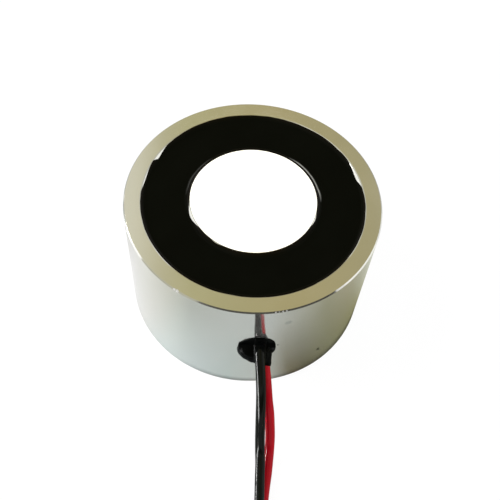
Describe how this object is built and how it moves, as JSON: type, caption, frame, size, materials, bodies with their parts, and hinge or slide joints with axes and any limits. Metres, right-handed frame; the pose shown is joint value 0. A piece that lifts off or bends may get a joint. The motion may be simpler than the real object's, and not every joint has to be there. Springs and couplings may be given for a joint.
{
  "type": "lifting electromagnet",
  "caption": "Round face-up holding electromagnet: plated steel pot with centre pole, coil cast in black resin, two leads out of the side.",
  "frame": {"origin": "centre of the back face, which lies on z = 0", "axes": "+Z along the magnet's axis towards the holding face, leads leave the side towards -Y, +X to the right of them"},
  "size_m": [0.0516, 0.1049, 0.03],
  "materials": {
    "plated_steel": "bright nickel plate, turned and ground",
    "resin": "black casting resin, semi-matt",
    "sealant": "black sealant",
    "nylon": "moulded natural nylon",
    "copper": "enamelled copper wire",
    "tape": "yellow polyester tape",
    "solder": "solder",
    "sleeving": "insulating sleeving",
    "red_insulation": "red PVC insulation",
    "black_insulation": "black PVC insulation",
    "tinned_copper": "tinned strands",
    "tie_plastic": "plastic-covered wire tie"
  },
  "bodies": {
    "root": {"pot": "plated_steel", "potting_resin": "resin", "exit_seal": "sealant", "coil_bobbin": "nylon", "coil_winding": "copper", "winding_tape": "tape", "start_wire": "copper", "finish_wire": "copper", "start_joint": "solder", "finish_joint": "solder", "start_sleeve": "sleeving", "finish_sleeve": "sleeving", "red_lead_inner": "red_insulation", "black_lead_inner": "black_insulation", "red_lead": "red_insulation", "black_lead": "black_insulation", "lead_coil": "black_insulation", "lead_tie": "tie_plastic", "red_lead_tail": "red_insulation", "black_lead_tail": "black_insulation", "red_tinned_end": "tinned_copper", "black_tinned_end": "tinned_copper"}
  },
  "joints": []
}
